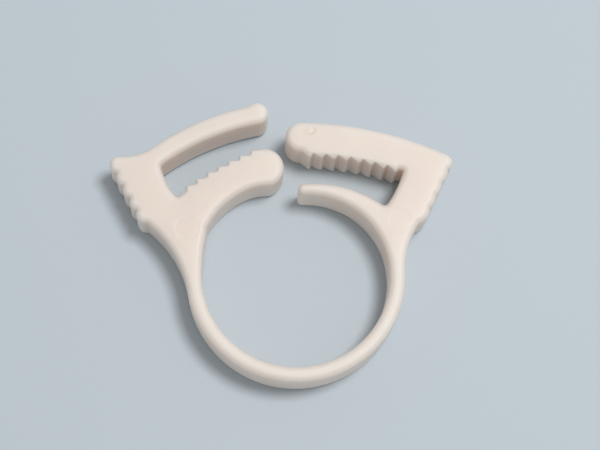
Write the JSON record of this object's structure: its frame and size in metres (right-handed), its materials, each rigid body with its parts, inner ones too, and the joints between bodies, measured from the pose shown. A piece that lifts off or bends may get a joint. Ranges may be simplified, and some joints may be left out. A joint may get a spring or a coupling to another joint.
{
  "type": "plastic snap hose clamp",
  "caption": "One-piece moulded white plastic hose clip, open, with two toothed ratchet jaws over a round band.",
  "frame": {"origin": "middle of the bore, half way across the clip's width", "axes": "+Z along the bore axis, +X from the left (outer-finger) jaw to the right (rack) jaw, +Y from the band to the jaws' mouth"},
  "size_m": [0.0337, 0.028, 0.005],
  "materials": {
    "nylon": "matte"
  },
  "bodies": {
    "root": {"hose_clip": "nylon"}
  },
  "joints": []
}
